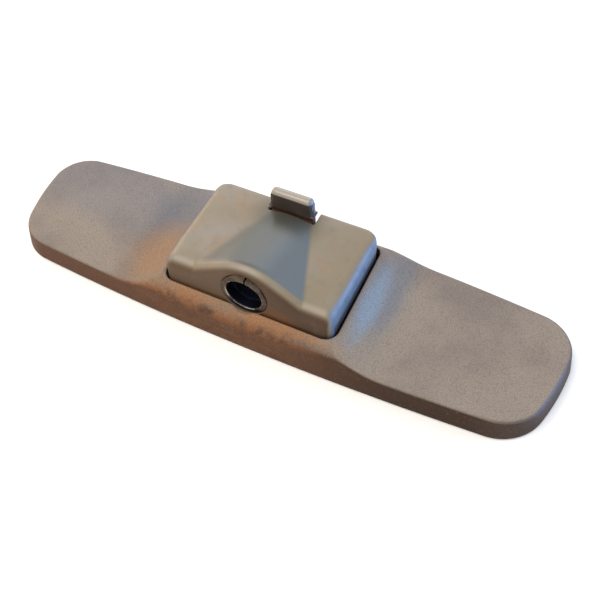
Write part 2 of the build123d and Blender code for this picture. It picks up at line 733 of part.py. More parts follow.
lever_pin_end = LEVER_SLOT_X + LEVER_EAR_T + 1.6
with BuildPart() as lever_pin:
    add(bar(LEVER_PIN_R, -lever_pin_end, lever_pin_end, PIVOT_Y, PIVOT_Z))
save(lever_pin, "lever_pin")

with BuildPart() as lever_clips:
    clip_inner = LEVER_SLOT_X + LEVER_EAR_T + 0.05
    add(bar(3.0, clip_inner, clip_inner + 0.6, PIVOT_Y, PIVOT_Z))
    add(bar(LEVER_PIN_R + 0.01, clip_inner, clip_inner + 0.6, PIVOT_Y, PIVOT_Z), mode=Mode.SUBTRACT)
    mirror(about=Plane.YZ)
save(lever_clips, "lever_clips")

with BuildPart() as friction_washers:
    washer_ends = (LEVER_X + 0.08, LEVER_SLOT_X - 0.08)
    add(bar(3.0, *washer_ends, PIVOT_Y, PIVOT_Z))
    add(bar(LEVER_PIN_R + 0.05, *washer_ends, PIVOT_Y, PIVOT_Z), mode=Mode.SUBTRACT)
    mirror(about=Plane.YZ)
save(friction_washers, "friction_washers")

# ---- lever ----

with BuildPart() as dip_lever:
    add(bar(LEVER_HUB_R, -LEVER_X, LEVER_X, PIVOT_Y, PIVOT_Z))
    with BuildSketch(Plane.YZ):
        with BuildLine():
            Polyline(
                (PIVOT_Y - 1.6, PIVOT_Z + 2.2),
                (BLADE_FRONT, PIVOT_Z + 6.0),
                (BLADE_FRONT, BLADE_TOP),
                (BLADE_BACK, BLADE_TOP),
                (BLADE_BACK, PIVOT_Z + 3.0),
                (PIVOT_Y + 2.4, PIVOT_Z - 0.6),
                close=True,
            )
        make_face()
    extrude(amount=BLADE_X, both=True)
    add(bar(CAM_R, -CAM_X, CAM_X, cam_y, cam_z))
    # flats where the cam meets its follower at either end of the lever's travel
    for turn in (0, LEVER_TURN - DIP_DEG):
        flat = Plane((0, PIVOT_Y, PIVOT_Z), x_dir=(1, 0, 0), z_dir=(0, 0, -1)).rotated((-turn, 0, 0))
        reach = CAM_R + cam_throw * math.sin(math.radians(turn) - half_turn) - CAM_FLAT
        with BuildSketch(flat.offset(reach)):
            Rectangle(2 * CAM_X + 1, 24)
        extrude(amount=3, mode=Mode.SUBTRACT)
    add(bar(LEVER_PIN_R + HINGE_PLAY, -LEVER_X, LEVER_X, PIVOT_Y, PIVOT_Z), mode=Mode.SUBTRACT)
save(dip_lever, "dip_lever")

# Fat moulded grip pushed over the lever's blade, narrower at its top.
with BuildPart() as lever_grip:
    with BuildSketch(Plane.YZ):
        with BuildLine():
            Polyline(
                (TAB_FRONT, TAB_FOOT),
                (TAB_BACK, TAB_FOOT),
                (TAB_BACK, TAB_TOP),
                (TAB_FRONT, TAB_TOP),
                close=True,
            )
        make_face()
    extrude(amount=TAB_FOOT_X, both=True)
    with BuildSketch(Plane.XZ.offset(-TAB_FRONT)):
        with BuildLine():
            Polyline(
                (-TAB_FOOT_X, TAB_FOOT),
                (TAB_FOOT_X, TAB_FOOT),
                (TAB_TOP_X, TAB_TOP),
                (-TAB_TOP_X, TAB_TOP),
                close=True,
            )
        make_face()
    extrude(amount=-20, mode=Mode.INTERSECT)
    fillet(lever_grip.faces().sort_by(Axis.Z)[-1].edges(), radius=2.0)
    with Locations((0, (BLADE_FRONT + BLADE_BACK) / 2, TAB_FOOT)):
        Box(
            2 * BLADE_X,
            BLADE_BACK - BLADE_FRONT,
            BLADE_TOP - TAB_FOOT,
            align=(Align.CENTER, Align.CENTER, Align.MIN),
            mode=Mode.SUBTRACT,
        )
save(lever_grip, "lever_grip")
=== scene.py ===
import json
import math

import bmesh
import bpy
import numpy as np
from mathutils import Matrix, Vector


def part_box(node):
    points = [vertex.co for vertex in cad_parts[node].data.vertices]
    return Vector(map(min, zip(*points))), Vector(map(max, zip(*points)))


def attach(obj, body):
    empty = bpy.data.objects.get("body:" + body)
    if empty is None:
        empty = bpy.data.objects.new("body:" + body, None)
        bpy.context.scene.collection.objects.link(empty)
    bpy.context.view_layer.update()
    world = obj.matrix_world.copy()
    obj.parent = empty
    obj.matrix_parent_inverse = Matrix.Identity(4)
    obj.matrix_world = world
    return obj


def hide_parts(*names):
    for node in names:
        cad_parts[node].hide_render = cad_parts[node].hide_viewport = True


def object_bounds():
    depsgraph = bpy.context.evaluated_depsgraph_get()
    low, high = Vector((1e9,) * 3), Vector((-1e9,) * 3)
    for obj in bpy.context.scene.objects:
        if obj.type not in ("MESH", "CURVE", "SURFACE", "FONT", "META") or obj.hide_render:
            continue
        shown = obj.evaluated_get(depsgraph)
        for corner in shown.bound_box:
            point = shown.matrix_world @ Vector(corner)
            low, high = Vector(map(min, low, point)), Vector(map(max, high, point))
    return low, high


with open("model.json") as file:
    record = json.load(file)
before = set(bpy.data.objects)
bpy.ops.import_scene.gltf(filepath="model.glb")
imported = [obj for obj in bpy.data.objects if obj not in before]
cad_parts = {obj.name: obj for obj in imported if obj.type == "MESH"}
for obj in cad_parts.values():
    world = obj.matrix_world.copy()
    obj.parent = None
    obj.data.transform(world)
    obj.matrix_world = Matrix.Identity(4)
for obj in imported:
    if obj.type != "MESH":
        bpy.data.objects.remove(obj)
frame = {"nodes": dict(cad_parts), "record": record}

# A vehicle's inside rear-view mirror, lying on its glass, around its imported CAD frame.
# Lengths are in millimetres up to the point where a mesh is made, which turns them into metres.
cad_low, cad_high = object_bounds()
MM = 0.001


def box_mm(node):
    """Lowest and highest corners of a CAD node, in millimetres."""
    low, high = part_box(node)
    return np.array(low) / MM, np.array(high) / MM


shell_low = box_mm("housing_shell")[0]
cover_low, cover_high = box_mm("pod_cover")
ring_low, ring_high = box_mm("socket_ring")

# ---- shape of the housing ----
HALF_WIDTH = 33.0  # of its plan along Y, at the middle
NEAR_R = 1480.0  # radii of the plan's bowed edges
FAR_R = 1130.0
END_R = 104.4
END_CENTRE = np.array((20.05, 14.36))
NEAR_CORNER_R = 20.0
FAR_CORNER_R = 17.8
RIM_Z = shell_low[2]
WING_Z = 10.2
DRAFT = math.radians(10.8)  # lean of its sides
WALL = 2.3
HUMP_Z = 20.9
HUMP_X = 38.0  # where the hump's flanks start
FLANK_X = 60.0  # and where they meet the wings
LIP_Z = 17.8  # the hump's top at the recess's near lip, from which it climbs towards the far side
TOP_SLOPE = 0.06
CLIMB_END = 16.0
NEAR_ROUND = ((-31.9, 7.0), (-30.0, 13.2))  # (y, z) points on the arcs that round the hump off
FAR_ROUND = ((25.9, 17.2), (31.2, 9.0))
FOOT_SLOPE = 5.0  # of the sides below those arcs
WELL_X = 38.8  # the recess that the pod sits in
WELL_NEAR = -25.4
WELL_FAR = 25.4
WELL_R = 5.4
RELIEF_R = 8.4  # dip in the recess's near lip that lets the ball past
RELIEF_SOFT = 0.8
WELL_WALL = 1.8
WELL_FLOOR = 9.3
LIP_R = 0.9
BOSS_FOOT = 9.15
CREASE = 1.7  # softness of the edge between side and top on the wings
HUMP_CREASE = 0.6  # and on the hump, whose rounded sides already are that edge
CREASE_FROM = 62.0  # the X where one starts to turn into the other
CREASE_RUN = 14.0
HUMP_BLEND = 4.0  # softness between the hump's flanks and its rounded sides

# ---- shape of the pod's cover ----
COVER_TOP = 28.0
COVER_X = cover_high[0]
COVER_NEAR = cover_low[1]
COVER_FAR = cover_high[1]
COVER_BASE = cover_low[2]
COVER_R = 4.8  # of its near corners in plan
COVER_FAR_R = 7.0
COVER_EDGE = 5.5  # softness of the top's edge on its left and right
COVER_NEAR_EDGE = 7.0
COVER_FAR_EDGE = 1.8
NEAR_TURN = (14.0, 10.0)  # how far from its near side the softness changes, and over what length
FAR_TURN = (8.0, 6.0)
COVER_WALL = 1.9
RAMP_NEAR = (-24.9, 26.5, 38.9, 22.0)  # y, half width, peak, radius of its back
RAMP_FAR = (17.0, 10.8, 29.3, 28.0)
RAMP_CREASE_R = 3.0
LEAN_FROM = 15.0  # height above which the front leans back
LEAN = 1.8 / 19.4
NOTCH_X = 10.9  # opening in the far side for the lever
NOTCH_Y = 17.0
NOTCH_Z = 12.2
HOLE_Y = -25.5  # middle of the round hole in the cover's front

SOCKET_Z = (ring_low[2] + ring_high[2]) / 2
RING_R = ring_high[0]
RING_BORE_R = 7.7
SLIT_X = 1.4  # middle of the ring's slit, near the ring's top
SLIT_HALF = 0.4
BOSS_INSET = 2.4  # a screw's middle from the edges of the screws' box


# ---- mesh helpers ----


def raw_object(name, points, faces):
    """An object from points in millimetres, with points that coincide made one."""
    shape = bmesh.new()
    corners = [shape.verts.new(point) for point in np.asarray(points) * MM]
    for face in faces:
        shape.faces.new([corners[k] for k in face])
    bmesh.ops.remove_doubles(shape, verts=shape.verts, dist=0.5e-6)
    bmesh.ops.dissolve_degenerate(shape, edges=shape.edges, dist=0.5e-6)
    return object_from(name, shape)


def object_from(name, shape):
    """An object from an edited mesh, which it uses up."""
    mesh = bpy.data.meshes.new(name)
    shape.to_mesh(mesh)
    shape.free()
    piece = bpy.data.objects.new(name, mesh)
    bpy.context.scene.collection.objects.link(piece)
    return piece


def finish_piece(piece, body, slot, smooth_angle=40):
    """Outward normals, smooth shading but for edges sharper than an angle, the slot's finish,
    and the body that a piece rides on."""
    shape = bmesh.new()
    shape.from_mesh(piece.data)
    bmesh.ops.recalc_face_normals(shape, faces=shape.faces)
    limit = math.radians(smooth_angle)
    for face in shape.faces:
        face.smooth = True
    for edge in shape.edges:
        edge.smooth = not (edge.is_manifold and edge.calc_face_angle() > limit)
    shape.to_mesh(piece.data)
    shape.free()
    piece.data.materials.clear()
    piece.data.materials.append(finishes[slot])
    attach(piece, body)


def grid_faces(rows, columns, closed_rows):
    """Quads of a grid whose columns close round on themselves, and its rows too if asked."""
    faces = []
    for j in range(rows if closed_rows else rows - 1):
        above = (j + 1) % rows
        for i in range(columns):
            beside = (i + 1) % columns
            foot = (j * columns + i, j * columns + beside)
            head = (above * columns + beside, above * columns + i)
            faces.append(foot + head)
    return faces


def apply_modifiers(piece):
    """Replaces a piece's mesh by what its modifiers make of it."""
    graph = bpy.context.evaluated_depsgraph_get()
    made = bpy.data.meshes.new_from_object(piece.evaluated_get(graph))
    piece.modifiers.clear()
    piece.data = made


def cut(piece, cutter):
    """Takes the cutter's volume out of a piece, and the cutter out of the scene."""
    modifier = piece.modifiers.new("cut", "BOOLEAN")
    modifier.object = cutter
    modifier.solver = "EXACT"
    apply_modifiers(piece)
    bpy.data.objects.remove(cutter)


def smooth_max(a, b, k):
    return np.maximum(a, b) + np.maximum(k - np.abs(a - b), 0) ** 2 / (4 * k)


def smooth_min(a, b, k):
    return -smooth_max(-a, -b, k)


def circle_through(p, q, r):
    """Centre and radius of the circle through three points."""
    (ax, ay), (bx, by), (cx, cy) = p, q, r
    d = 2 * (ax * (by - cy) + bx * (cy - ay) + cx * (ay - by))
    aa = ax * ax + ay * ay
    bb = bx * bx + by * by
    cc = cx * cx + cy * cy
    x = (aa * (by - cy) + bb * (cy - ay) + cc * (ay - by)) / d
    y = (aa * (cx - bx) + bb * (ax - cx) + cc * (bx - ax)) / d
    return np.array((x, y)), math.hypot(ax - x, ay - y)


def corner_centre(c1, r1, c2, r2):
    """Centre of a right-hand fillet held by two circles: the rightmost point at r1 and r2 from them."""
    apart = c2 - c1
    d = np.linalg.norm(apart)
    along = (r1 * r1 - r2 * r2 + d * d) / (2 * d)
    off = math.sqrt(r1 * r1 - along * along)
    base = c1 + apart * along / d
    side = np.array((-apart[1], apart[0])) / d * off
    return max(base + side, base - side, key=lambda p: p[0])


def arc_points(centre, radius, start, end, spacing):
    """Points and outward normals along an arc, without its last point."""
    first = math.atan2(*(start - centre)[::-1])
    last = math.atan2(*(end - centre)[::-1])
    count = max(2, math.ceil(abs(last - first) * radius / spacing))
    turns = np.linspace(first, last, count, endpoint=False)
    normals = np.stack([np.cos(turns), np.sin(turns)], 1)
    return centre + radius * normals, normals


def mirrored(points, normals):
    """A whole loop from its right half, which starts and ends on X = 0."""
    flip = np.array((-1, 1))
    left_points = points[-2:0:-1] * flip
    left_normals = normals[-2:0:-1] * flip
    return np.concatenate([points, left_points]), np.concatenate([normals, left_normals])


def head_outline(spacing):
    """The housing's plan at its rim: four bowed edges with rounded corners, from the near middle."""
    near = (np.array((0, NEAR_R - HALF_WIDTH)), NEAR_R)
    far = (np.array((0, HALF_WIDTH - FAR_R)), FAR_R)
    end = (END_CENTRE, END_R)
    points = []
    normals = []

    def touch(big, centre, radius):
        """Where a corner's circle meets the bowed edge that holds it."""
        return big[0] + (centre - big[0]) * big[1] / (big[1] - radius)

    low = corner_centre(near[0], near[1] - NEAR_CORNER_R, end[0], end[1] - NEAR_CORNER_R)
    high = corner_centre(far[0], far[1] - FAR_CORNER_R, end[0], end[1] - FAR_CORNER_R)
    stops = [
        np.array((0, -HALF_WIDTH)),
        touch(near, low, NEAR_CORNER_R),
        touch(end, low, NEAR_CORNER_R),
        touch(end, high, FAR_CORNER_R),
        touch(far, high, FAR_CORNER_R),
        np.array((0, HALF_WIDTH)),
    ]
    arcs = [near, (low, NEAR_CORNER_R), end, (high, FAR_CORNER_R), far]
    for (centre, radius), start, stop in zip(arcs, stops, stops[1:]):
        p, n = arc_points(centre, radius, start, stop, spacing)
        points.append(p)
        normals.append(n)
    points.append(stops[-1][None])
    normals.append(np.array([[0, 1.0]]))
    return mirrored(np.concatenate(points), np.concatenate(normals))


def rounded_rectangle(half_x, low_y, high_y, near_r, far_r, fractions):
    """Points and outward normals at shares of the way round the right half of a rounded rectangle."""
    lengths = [
        half_x - near_r,
        math.pi * near_r / 2,
        high_y - low_y - near_r - far_r,
        math.pi * far_r / 2,
        half_x - far_r,
    ]
    stops = np.cumsum([0] + lengths)
    points = []
    normals = []
    for share in fractions:
        s = share * stops[-1]
        k = min(int(np.searchsorted(stops, s, side="right")) - 1, 4)
        t = s - stops[k]
        if k == 0:
            points.append((t, low_y))
            normals.append((0, -1))
        elif k == 2:
            points.append((half_x, low_y + near_r + t))
            normals.append((1, 0))
        elif k == 4:
            points.append((half_x - far_r - t, high_y))
            normals.append((0, 1))
        else:
            radius = near_r if k == 1 else far_r
            turn = t / radius - (math.pi / 2 if k == 1 else 0)
            centre_x = half_x - radius
            centre_y = low_y + radius if k == 1 else high_y - radius
            normals.append((math.cos(turn), math.sin(turn)))
            points.append((centre_x + radius * math.cos(turn), centre_y + radius * math.sin(turn)))
    return mirrored(np.array(points), np.array(normals))


# ---- the housing ----


def arc_height(y, centre, radius):
    """Upper half of a circle at y."""
    return centre[1] + np.sqrt(np.maximum(radius**2 - (y - centre[0]) ** 2, 0))


near_circle = circle_through(NEAR_ROUND[0], NEAR_ROUND[1], (WELL_NEAR, LIP_Z))
far_circle = circle_through((CLIMB_END, LIP_Z + TOP_SLOPE * (CLIMB_END - WELL_NEAR)), *FAR_ROUND)
flank_r = ((FLANK_X - HUMP_X) ** 2 + (HUMP_Z - WING_Z) ** 2) / (2 * (HUMP_Z - WING_Z))


def side_height(y):
    """The hump seen from its end: a rounded near edge, a slow climb, a rounded far edge."""
    near_foot, near_foot_z = NEAR_ROUND[0]
    far_foot, far_foot_z = FAR_ROUND[1]
    climb = LIP_Z + TOP_SLOPE * (y - WELL_NEAR)
    near_side = near_foot_z + FOOT_SLOPE * (y - near_foot)
    far_side = far_foot_z - FOOT_SLOPE * (y - far_foot)
    near = np.where(y > near_foot, arc_height(y, *near_circle), near_side)
    far = np.where(y < far_foot, arc_height(y, *far_circle), far_side)
    return np.where(y < WELL_NEAR, near, np.where(y > CLIMB_END, far, climb))


def front_height(x):
    """The head seen from its near side: level wings that curl up into the hump."""
    into = np.clip(FLANK_X - np.abs(x), 0, FLANK_X - HUMP_X)
    return WING_Z + flank_r - np.sqrt(flank_r**2 - into**2)


def top_height(x, y):
    """The housing's top: wings and hump, with a dip for the ball in the near side."""
    hump = smooth_min(front_height(x), side_height(y), HUMP_BLEND)
    dip = SOCKET_Z - np.sqrt(np.maximum(RELIEF_R**2 - x * x, 0))
    return np.where(y < 0, smooth_min(hump, dip, RELIEF_SOFT), hump)


def steepness(height, x, y):
    """Cosine of a height field's slope, which turns a height above it into a distance."""
    e = 0.05
    dx = (height(x + e, y) - height(x - e, y)) / (2 * e)
    dy = (height(x, y + e) - height(x, y - e)) / (2 * e)
    return 1 / np.sqrt(1 + dx * dx + dy * dy)


def first_crossing(outside, reach, steps=40):
    """Distance along each ray at which outside() turns positive, by halving."""
    low = np.zeros_like(reach)
    high = reach.copy()
    for _ in range(steps):
        middle = (low + high) / 2
        out = outside(middle) > 0
        high = np.where(out, middle, high)
        low = np.where(out, low, middle)
    return (low + high) / 2


def even_rows(d, z, rows):
    """Resamples each column's profile, insets d and heights z, to rows evenly spaced along it."""
    new_d = np.empty((rows, d.shape[1]))
    new_z = np.empty_like(new_d)
    for i in range(d.shape[1]):
        run = np.concatenate([[0], np.cumsum(np.hypot(np.diff(d[:, i]), np.diff(z[:, i])))])
        at = np.linspace(0, run[-1], rows)
        new_d[:, i] = np.interp(at, run, d[:, i])
        new_z[:, i] = np.interp(at, run, z[:, i])
    return new_d, new_z


def edge_profile(points, normals, outside, anchor_d, anchor_z, first, last, rows, reach=40.0):
    """Rows that climb a form's side and round its edge: rays from an inner point, between two angles."""
    angles = np.linspace(first, last, 160)[:, None] * np.ones(len(points))[None]
    dd = -np.cos(angles)
    dz = np.sin(angles)

    def out(s):
        d = anchor_d + s * dd
        z = anchor_z + s * dz
        at = points[None] - normals[None] * d[..., None]
        return outside(at[..., 0], at[..., 1], z, d)

    s = first_crossing(out, np.full(angles.shape, reach))
    return even_rows(anchor_d + s * dd, anchor_z + s * dz, rows)


def ring_at(points, normals, d, z):
    """Points of a row at inset d and height z, each of which is one value or one per column."""
    at = points - normals * np.broadcast_to(d, len(points))[:, None]
    return np.column_stack([at, np.broadcast_to(z, len(points))])


def housing_outside(x, y, z, d):
    """How far a point at inset d is outside the housing: beyond its leaning side or above its top."""
    wall = ((z - RIM_Z) * math.tan(DRAFT) - d) * math.cos(DRAFT)
    top = (z - top_height(x, y)) * steepness(top_height, x, y)
    onto_hump = np.clip((CREASE_FROM - np.abs(x)) / CREASE_RUN, 0, 1)
    return smooth_max(wall, top, CREASE + (HUMP_CREASE - CREASE) * onto_hump)


def on_top(at, depth=0.0):
    """Points of the housing's top over points in plan, or a depth below it."""
    return np.column_stack([at, top_height(at[:, 0], at[:, 1]) - depth])


def build_housing():
    """One closed skin: up the outside, over to the recess, down into it, and back along the inside."""
    points, normals = head_outline(0.8)
    half = len(points) // 2 + 1
    run = np.concatenate([[0], np.cumsum(np.linalg.norm(np.diff(points[:half], axis=0), axis=1))])
    well, well_normals = rounded_rectangle(WELL_X, WELL_NEAR, WELL_FAR, WELL_R, WELL_R, run / run[-1])
    anchor_d = 4.5
    anchor_z = 4.0
    inner_d = anchor_d + 0.5
    rim_angle = -math.atan2(anchor_z - RIM_Z, anchor_d)
    d, z = edge_profile(points, normals, housing_outside, anchor_d, anchor_z, rim_angle, math.pi / 2, 40)
    rows = [ring_at(points, normals, d[j], z[j]) for j in range(len(d))]
    # over the wing or hump to the recess's lip
    inner = points - normals * anchor_d
    lip = well + well_normals * LIP_R
    for share in np.linspace(0, 1, 90)[1:]:
        rows.append(on_top(inner + (lip - inner) * share))
    # round the lip, then down into the recess
    for turn in np.linspace(0, math.pi / 2, 8)[1:]:
        at = well + well_normals * LIP_R * (1 - math.sin(turn))
        rows.append(on_top(at, LIP_R * (1 - math.cos(turn))))
    lip_foot = rows[-1][:, 2]
    for share in np.linspace(0, 1, 8)[1:]:
        rows.append(np.column_stack([well, lip_foot + (WELL_FLOOR - lip_foot) * share]))
    # back up outside the recess's wall, under the top and down inside the rim
    outer = well + well_normals * WELL_WALL
    roof = np.maximum(on_top(outer, WALL)[:, 2], WELL_FLOOR + 0.2)
    for share in np.linspace(0, 1, 4):
        rows.append(np.column_stack([outer, WELL_FLOOR + (roof - WELL_FLOOR) * share]))
    back = points - normals * inner_d
    for share in np.linspace(0, 1, 24)[1:]:
        rows.append(on_top(outer + (back - outer) * share, WALL))
    roof = rows[-1][:, 2]
    for share in np.linspace(0, 1, 8)[1:]:
        z = roof + (RIM_Z - roof) * share
        d = inner_d * (1 - share) ** 2 + WALL * (1 - (1 - share) ** 2)
        rows.append(ring_at(points, normals, d, z))
    faces = grid_faces(len(rows), len(points), True)
    piece = raw_object("housing_skin", np.concatenate(rows), faces)
    finish_piece(piece, "head", "grained_shell")
    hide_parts("housing_shell")


# ---- the pod's cover ----


def cover_height(x, y):
    """The cover's top: a level plate with a ramp that sinks and narrows towards the lever.
    The ramp's section is a round back with a straight flank on each side and a crease at its foot."""
    share = np.clip((y - RAMP_NEAR[0]) / (RAMP_FAR[0] - RAMP_NEAR[0]), -0.2, 1.0)
    half, peak, back_r = (a + (b - a) * share for a, b in zip(RAMP_NEAR[1:], RAMP_FAR[1:]))
    radii = back_r + RAMP_CREASE_R
    rise = peak - COVER_TOP
    lean = np.arctan2(half, radii - rise) - np.arccos(radii / np.hypot(half, radii - rise))
    off = np.abs(x)
    turn_x = back_r * np.sin(lean)
    crease_x = half - RAMP_CREASE_R * np.sin(lean)
    back = peak - back_r + np.sqrt(np.maximum(back_r**2 - off**2, 0))
    flank = peak - back_r * (1 - np.cos(lean)) - (off - turn_x) * np.tan(lean)
    crease = np.sqrt(RAMP_CREASE_R**2 - np.clip(half - off, 0, RAMP_CREASE_R) ** 2)
    foot = COVER_TOP + RAMP_CREASE_R - crease
    return np.where(off < turn_x, back, np.where(off < crease_x, flank, foot))


def cover_outside(x, y, z):
    """How far a point is outside the cover, whose front leans back and so shortens its plan."""
    lean = np.maximum(z - LEAN_FROM, 0) * LEAN
    near_y = COVER_NEAR + lean
    corner_r = np.where(y > 0, COVER_FAR_R, COVER_R)
    qx = np.abs(x) - (COVER_X - corner_r)
    qy = np.abs(y - (near_y + COVER_FAR) / 2) - ((COVER_FAR - near_y) / 2 - corner_r)
    plan = np.hypot(np.maximum(qx, 0), np.maximum(qy, 0)) + np.minimum(np.maximum(qx, qy), 0) - corner_r
    top = (z - cover_height(x, y)) * steepness(cover_height, x, y)
    to_far = np.clip((y - COVER_FAR + FAR_TURN[0]) / FAR_TURN[1], 0, 1)
    to_near = np.clip((COVER_NEAR + NEAR_TURN[0] - y) / NEAR_TURN[1], 0, 1)
    edge = COVER_EDGE + (COVER_FAR_EDGE - COVER_EDGE) * to_far
    edge = edge + (COVER_NEAR_EDGE - COVER_EDGE) * to_near
    return smooth_max(plan, top, edge)


def cover_skin(points, normals, depth):
    """Rows of the cover's skin at a depth below its outside, from the base to a ridge in its middle."""
    anchor_d = 4.6  # less than the corners' radius, or the rows would fold over there
    anchor_z = 15.5
    search = 8.0  # how far under its nominal height the top is looked for
    base_angle = -math.atan2(anchor_z - COVER_BASE, anchor_d - depth)

    def outside(x, y, z, _inset):
        return cover_outside(x, y, z) + depth

    def surface_z(at):
        start = cover_height(at[:, 0], at[:, 1]) - depth - search
        reach = np.full(len(at), search + 0.5)
        return start + first_crossing(lambda s: cover_outside(*at.T, start + s) + depth, reach)

    d, z = edge_profile(points, normals, outside, anchor_d, anchor_z, base_angle, math.pi / 2, 50)
    rows = [ring_at(points, normals, d[j], z[j]) for j in range(len(d))]
    inner = points - normals * anchor_d
    ridge_x = np.clip(inner[:, 0] * 0.4, -12, 12)
    ridge = np.column_stack([ridge_x, np.full(len(inner), (COVER_NEAR + COVER_FAR) / 2)])
    for share in np.linspace(0, 1, 46)[1:]:
        at = inner + (ridge - inner) * share
        rows.append(np.column_stack([at, surface_z(at)]))
    return rows


def build_cover():
    """The cover's inside and outside as one skin, cut for the lever's notch and the ball's hole."""
    around = np.linspace(0, 1, 320)
    points, normals = rounded_rectangle(COVER_X, COVER_NEAR, COVER_FAR, COVER_R, COVER_FAR_R, around)
    rows = cover_skin(points, normals, COVER_WALL)[::-1] + cover_skin(points, normals, 0)
    piece = raw_object("pod_cover_skin", np.concatenate(rows), grid_faces(len(rows), len(points), False))
    cut(piece, rounded_block("notch", NOTCH_X, (NOTCH_Y, NOTCH_Y + 20), (NOTCH_Z, NOTCH_Z + 30), 0.8))
    place = Matrix.Translation(Vector((0, HOLE_Y, SOCKET_Z)) * MM) @ Matrix.Rotation(math.pi / 2, 4, "X")
    hole_r = RING_R + 0.15
    cut(piece, round_post("hole", hole_r, hole_r, 10.0, place, 128))
    finish_piece(piece, "pod", "cover_plastic", 35)
    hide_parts("pod_cover")


def split_lathe(name, profile, count, slit):
    """A solid turned about the socket's axis, which is along Y, from (radius, y) points.
    The slit, a pair of angles in radians, is left open between two flat ends."""
    points = []
    for turn in np.linspace(slit[1], slit[0] + 2 * math.pi, count):
        for radius, y in profile:
            points.append((radius * math.cos(turn), y, SOCKET_Z + radius * math.sin(turn)))
    faces = grid_faces(count, len(profile), False)
    faces.append(tuple(range(len(profile))))
    faces.append(tuple(range(len(points) - len(profile), len(points)))[::-1])
    return raw_object(name, points, faces)


def rounded_block(name, half_x, ys, zs, radius):
    """A box with rounded edges."""
    shape = bmesh.new()
    bmesh.ops.create_cube(shape, size=1)
    size = Vector((2 * half_x, ys[1] - ys[0], zs[1] - zs[0])) * MM
    centre = Vector((0, sum(ys) / 2, sum(zs) / 2)) * MM
    place = Matrix.Translation(centre) @ Matrix.Diagonal(size).to_4x4()
    bmesh.ops.transform(shape, matrix=place, verts=shape.verts)
    edges = shape.edges[:]
    bmesh.ops.bevel(shape, geom=edges, offset=radius * MM, segments=6, profile=0.5, affect="EDGES")
    return object_from(name, shape)


def round_post(name, foot_r, top_r, height, place, count):
    """A cylinder or cone about its own Z, put in place by a matrix."""
    shape = bmesh.new()
    bmesh.ops.create_cone(
        shape,
        cap_ends=True,
        segments=count,
        radius1=foot_r * MM,
        radius2=top_r * MM,
        depth=height * MM,
        matrix=place,
    )
    return object_from(name, shape)


# ---- smaller pieces ----


def build_ring():
    """Split ring: a flat face with softened edges round a parallel bore."""
    front = ring_low[1]
    back = ring_high[1]
    bevel = 0.2
    profile = [
        (RING_R, back),
        (RING_BORE_R, back),
        (RING_BORE_R, front + 0.5),
        (RING_BORE_R + 0.15, front + 0.25),
        (RING_BORE_R + 0.4, front + 0.06),
        (RING_BORE_R + 0.55, front),
    ]
    for turn in np.linspace(0, math.pi / 2, 5):
        profile.append((RING_R - bevel + bevel * math.sin(turn), front + bevel - bevel * math.cos(turn)))
    middle = math.acos(SLIT_X / RING_R)
    half = SLIT_HALF / RING_R
    piece = split_lathe("clamp_ring", profile, 160, (middle - half, middle + half))
    finish_piece(piece, "pod", "ring_steel", 30)
    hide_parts("socket_ring")


def build_grip():
    """Moulded grip: a fat bar with rounded shoulders on a thin skirt that wraps the lever's blade."""
    low, high = box_mm("lever_grip")
    middle = (low + high) / 2
    shoulder_r = 1.95
    shape = bmesh.new()
    bmesh.ops.create_cube(shape, size=1)
    for vert in shape.verts:
        half_x = high[0] - (1.0 if vert.co.z > 0 else 0.2)
        vert.co = Vector((
            2 * half_x * vert.co.x,
            middle[1] + (high[1] - low[1]) * vert.co.y,
            middle[2] + (high[2] - low[2]) * vert.co.z,
        )) * MM
    upper = [e for e in shape.edges if any(v.co.z > middle[2] * MM for v in e.verts)]
    bmesh.ops.bevel(
        shape,
        geom=upper,
        offset=shoulder_r * MM,
        segments=12,
        profile=0.5,
        affect="EDGES",
        clamp_overlap=True,
    )
    piece = object_from("lever_grip_moulded", shape)
    finish_piece(piece, "lever", "grip_plastic", 35)
    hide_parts("lever_grip")
    skirt = rounded_block("lever_grip_skirt", high[0], (low[1], high[1]), (low[2], low[2] + 0.9), 0.35)
    finish_piece(skirt, "lever", "lever_plastic", 35)


def build_bosses():
    """Posts under the housing's roof that take the frame's screws."""
    low, high = box_mm("frame_screws")
    post_x = (high[0] - low[0]) / 2 - BOSS_INSET
    for x in (-post_x, post_x):
        for y in (low[1] + BOSS_INSET, high[1] - BOSS_INSET):
            top = float(top_height(x, y)) - WALL + 0.3
            place = Matrix.Translation(Vector((x, y, (top + BOSS_FOOT) / 2)) * MM)
            name = "screw_boss_" + ("left" if x < 0 else "right") + ("_near" if y < 0 else "_far")
            finish_piece(round_post(name, 3.1, 2.9, top - BOSS_FOOT, place, 48), "head", "grained_shell")


# ---- materials ----


